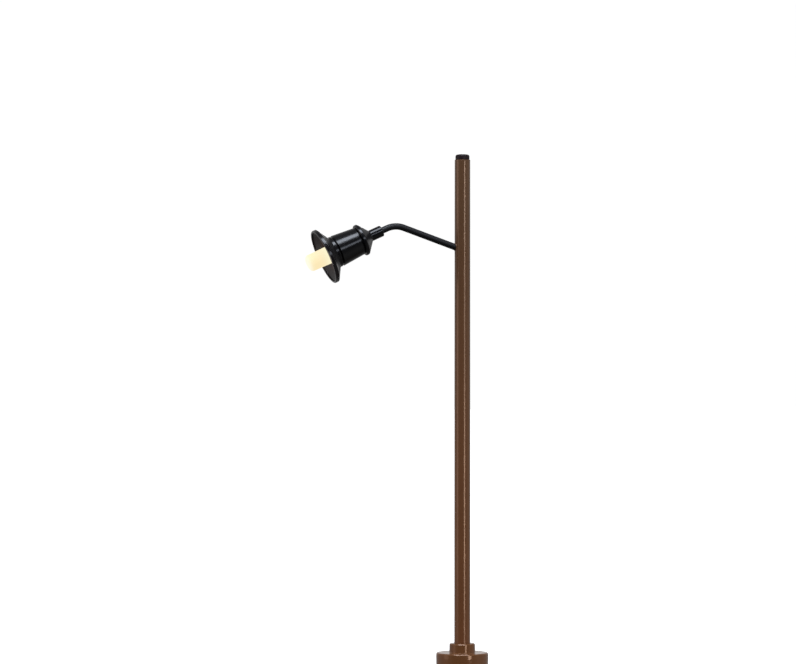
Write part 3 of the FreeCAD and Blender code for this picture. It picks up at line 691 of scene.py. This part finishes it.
def makeDiffuser():
    # Half outline from the pocket over the chip, round the flange, and out to the rounded tip.
    start, end = lampSpan("light_diffuser")
    flange = lampRadius("light_diffuser", start)
    piece = turned("lightDiffuser", [
        (start + diffuser["pocket"], 0, 0),
        (start + diffuser["pocket"], diffuser["pocketRadius"], soft),
        (start, diffuser["pocketRadius"], soft),
        (start, flange, soft),
        (start + diffuser["flange"], flange, soft),
        (start + diffuser["flange"], diffuser["radius"], crisp),
        (end, diffuser["radius"] - diffuser["draft"], diffuser["tip"]),
        (end, 0, 0),
    ], lampCentre, lampWay, closed=False, arcSteps=24)
    return give(piece, "lamp", "lit_diffuser", milkyAcrylic, "light_diffuser")


# Foot and socket

foot = {"collar": 2.54, "collarHeight": 1.8, "collarFoot": 0.08, "lift": 0.15, "swell": 0.08,
        "skirtDraft": 0.12, "skirtEdge": 0.12, "draft": 0.02, "draftHeight": 1.0, "draftEdge": 0.3,
        "edgeHeight": 0.22, "edgeWidth": 0.14, "edge": 0.07, "innerWall": 1.1, "innerEdge": 0.15,
        "skirtWall": 0.8, "ledge": 0.5, "ledgeRadius": 1.2, "countersink": 0.16, "mastGap": 0.01}


def makeFoot():
    # Section of skirt and collar, down the mast's hole, and back inside to the carrier's seat.
    low, high = boxMm("foot_housing")
    radius = high[1] + foot["swell"]
    collarTop = high[2] + foot["lift"]
    top = collarTop - foot["collarHeight"]
    mastBottom, mastTop = boxMm("mast_tube")
    hole = mastTop[1] + mast["footCoat"] + foot["mastGap"]
    ledgeUnder = mastBottom[2] - foot["ledge"]
    carrierTop = boxMm("pin_carrier")[1][2]
    piece = turned("footHousing", [
        (low[2], radius - foot["skirtWall"], soft),
        (low[2], radius - foot["skirtDraft"], foot["skirtEdge"]),
        (top - foot["draftHeight"], radius, foot["draftEdge"]),
        (top - foot["edgeHeight"], radius - foot["draft"], foot["edge"]),
        (top, radius - foot["draft"] - foot["edgeWidth"], foot["edge"]),
        (top, foot["collar"], foot["collarFoot"]),
        (collarTop - foot["edgeHeight"], foot["collar"] - foot["draft"], soft),
        (collarTop, foot["collar"] - foot["draft"] - foot["edgeWidth"], soft),
        (collarTop, hole + foot["countersink"], crisp),
        (collarTop - foot["countersink"], hole, crisp),
        (mastBottom[2], hole, crisp),
        (mastBottom[2], foot["ledgeRadius"], crisp),
        (ledgeUnder, foot["ledgeRadius"], soft),
        (ledgeUnder, radius - foot["innerWall"], foot["innerEdge"]),
        (carrierTop, radius - foot["innerWall"], soft),
        (carrierTop, radius - foot["skirtWall"], soft),
    ], mastFoot, upWay, around=192)
    return give(piece, "lamp", "foot_plastic", mouldedBrownAbs, "foot_housing")


for maker in (makeMast, makeMastCap, makeArm, makeArmSeat, makeRearCap, makeBarrel, makeDiffuser, makeShade,
              makeFoot):
    print("made", maker().name)

# CAD nodes that keep their own shape
plainNodes = {"led_board": whiteMask, "led_chip": phosphorResin, "feed_wire_front": wireEnamel,
              "feed_wire_back": wireEnamel, "pin_carrier": glassFilledBlackPbt, "foot_board": greenMask,
              "series_resistor": chipCeramic, "rectifier_diode": chipEpoxy, "contact_pin_left": turnedBrass,
              "contact_pin_right": turnedBrass, "contact_sleeve_left": turnedBrass,
              "contact_sleeve_right": turnedBrass, "socket_body": glassFilledBlackPbt}
for node, material in plainNodes.items():
    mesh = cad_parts[node].data
    mesh.materials.clear()
    mesh.materials.append(material)
print("carried over", len(plainNodes), "nodes")


# Camera, floor and light

# The camera looks level past the mast, from distance away and beside to its left. The picture is
# widthAtMast wide where the mast stands.
view = {"turnDegrees": -13.7, "distance": 700.0, "height": 69.96, "beside": 12.62, "rollDegrees": 0.03,
        "widthAtMast": 156.08, "sensor": 36.0}


def makeCamera():
    turn = math.radians(view["turnDegrees"])
    towards = np.array([math.sin(turn), -math.cos(turn), 0])
    left = np.array([-math.cos(turn), -math.sin(turn), 0])
    camera = bpy.data.objects.new("camera", bpy.data.cameras.new("camera"))
    camera.location = (towards * view["distance"] + left * view["beside"] + upWay * view["height"]) * mm
    roll = Matrix.Rotation(math.radians(view["rollDegrees"]), 3, "Z")
    camera.rotation_euler = (Euler((math.pi / 2, 0, turn)).to_matrix() @ roll).to_euler()
    camera.data.sensor_width = view["sensor"]
    camera.data.lens = view["sensor"] * view["distance"] / view["widthAtMast"]
    camera.data.clip_start, camera.data.clip_end = 0.01, 20
    bpy.context.scene.collection.objects.link(camera)
    bpy.context.scene.camera = camera


# Paper and background both glow a little over full white, so that they meet without a line.
backdrop = {"size": 3000.0, "paper": "#f4f4f4", "white": 1.02}


def makeFloor():
    # White paper, kept out of reflections and shadows, because the object is lit by the room alone.
    low = cadBounds[0][2] / mm
    size = backdrop["size"]
    points = np.array([[-size, -size, low], [size, -size, low], [size, size, low], [-size, size, low]])
    floor = putMesh("floor", points, np.array([[0, 1, 2, 3]]))
    if floor.data.polygons[0].normal.z < 0:
        floor.data.flip_normals()
    paper = newMaterial("palePaper")
    finishWith(paper.node_tree, {"Base Color": linear(backdrop["paper"]), "Roughness": 0.9,
                                 "Emission Color": (1, 1, 1, 1), "Emission Strength": backdrop["white"]}, {})
    floor.data.materials.append(paper)
    floor.visible_glossy = False
    floor.visible_diffuse = False
    floor.visible_shadow = False


lights = {
    # name: (degrees right of the camera, degrees up, distance, width, height, brightness, tint,
    # aim as X and Z)
    "topSoftbox": (-5, 64, 500, 500, 190, 8.5, "#eaf2ff", (-18, 86)),
    "leftSoftbox": (-76, 0, 500, 200, 320, 1.35, "#ffe8e2", (0, 140)),
    "lampStrip": (27.5, 12.5, 600, 170, 96, 4.4, "#e6efff", (-23, 86)),
    "rimStrip": (-50, -28, 500, 160, 420, 16, "#fff4ea", (-27, 83)),
    "mastStripHigh": (33.5, 0, 600, 135, 24, 15, "#ffffff", (0, 121)),
    "mastStripMiddle": (33.5, 0, 600, 135, 66, 3.4, "#ffffff", (0, 76)),
    "mastStripLow": (32, 0, 600, 135, 84, 9, "#fff6ee", (0, 1)),
    "backStrip": (180, 25, 600, 90, 300, 3, "#ffffff", (0, 55)),
}
# Lights that draw a narrow highlight would wash over other pieces. Those whose names start with a key
# reach only the pieces after it.
receivers = {"mastStrip": ("mastTube", "footHousing", "mastCap", "armSeat"), "rimStrip": ("lampShade",)}


def makeLights():
    # Each light stands on a sphere about its aim and faces it. Brightness is the light's radiance.
    turn = math.radians(view["turnDegrees"])
    groups = {}
    for start, pieces in receivers.items():
        groups[start] = bpy.data.collections.new(start + "Receivers")
        for name in pieces:
            groups[start].objects.link(bpy.data.objects[name])
    for name, values in lights.items():
        degreesRight, degreesUp, distance, width, height, brightness, tint, aim = values
        right, up = math.radians(degreesRight) + turn, math.radians(degreesUp)
        way = np.array([math.sin(right) * math.cos(up), -math.cos(right) * math.cos(up), math.sin(up)])
        data = bpy.data.lights.new(name, "AREA")
        data.shape, data.size, data.size_y = "RECTANGLE", width * mm, height * mm
        data.energy = brightness * math.pi * width * height * mm * mm
        data.color = linear(tint)[:3]
        light = bpy.data.objects.new(name, data)
        light.location = (np.array([aim[0], 0, aim[1]]) + way * distance) * mm
        light.rotation_euler = (math.pi / 2 - up, 0, right)
        light.visible_camera = False
        for start, group in groups.items():
            if name.startswith(start):
                light.light_linking.receiver_collection = group
        bpy.context.scene.collection.objects.link(light)


room = {
    # light level by height, as (sine of the height, level)
    "heights": ((-1.0, 0.2), (-0.75, 0.24), (-0.2, 0.9), (0.04, 0.9), (0.09, 1.8), (0.2, 1.4), (0.9, 0.4)),
    # its share by direction, from straight behind (-1) to straight in front (1)
    "directions": ((-1.0, 0.42), (-0.5, 0.38), (0.0, 0.42), (0.35, 0.45), (0.6, 0.2), (0.8, 0.03)),
}


def makeWorld():
    # White to the camera. For the light on the object: pale all round, falling off overhead and
    # below, and nearly dark in front, where only the lights shine.
    world = bpy.data.worlds.new("studio")
    bpy.context.scene.world = world
    world.use_nodes = True
    tree = world.node_tree
    tree.nodes.clear()
    place = addNode(tree, "ShaderNodeTexCoord")
    turn = math.radians(view["turnDegrees"])
    ahead = addNode(tree, "ShaderNodeVectorMath",
                    {"operation": "DOT_PRODUCT", 1: (math.sin(turn), -math.cos(turn), 0)},
                    {0: place.outputs["Generated"]})
    parts = addNode(tree, "ShaderNodeSeparateXYZ", None, {"Vector": place.outputs["Generated"]})
    heights = levelRamp(tree, parts.outputs["Z"], room["heights"])
    directions = levelRamp(tree, ahead.outputs["Value"], room["directions"])
    level = addNode(tree, "ShaderNodeMath", {"operation": "MULTIPLY"}, {0: heights, 1: directions})
    lit = addNode(tree, "ShaderNodeBackground", {"Color": (1, 1, 1, 1)}, {"Strength": level.outputs["Value"]})
    plain = addNode(tree, "ShaderNodeBackground", {"Color": (1, 1, 1, 1), "Strength": backdrop["white"]})
    ray = addNode(tree, "ShaderNodeLightPath")
    mix = addNode(tree, "ShaderNodeMixShader", None,
                  {0: ray.outputs["Is Camera Ray"], 1: lit.outputs["Background"],
                   2: plain.outputs["Background"]})
    addNode(tree, "ShaderNodeOutputWorld", None, {"Surface": mix.outputs["Shader"]})


makeCamera()
makeFloor()
makeLights()
makeWorld()
bpy.context.scene.view_settings.view_transform = "Standard"
print("camera, floor and light are set")
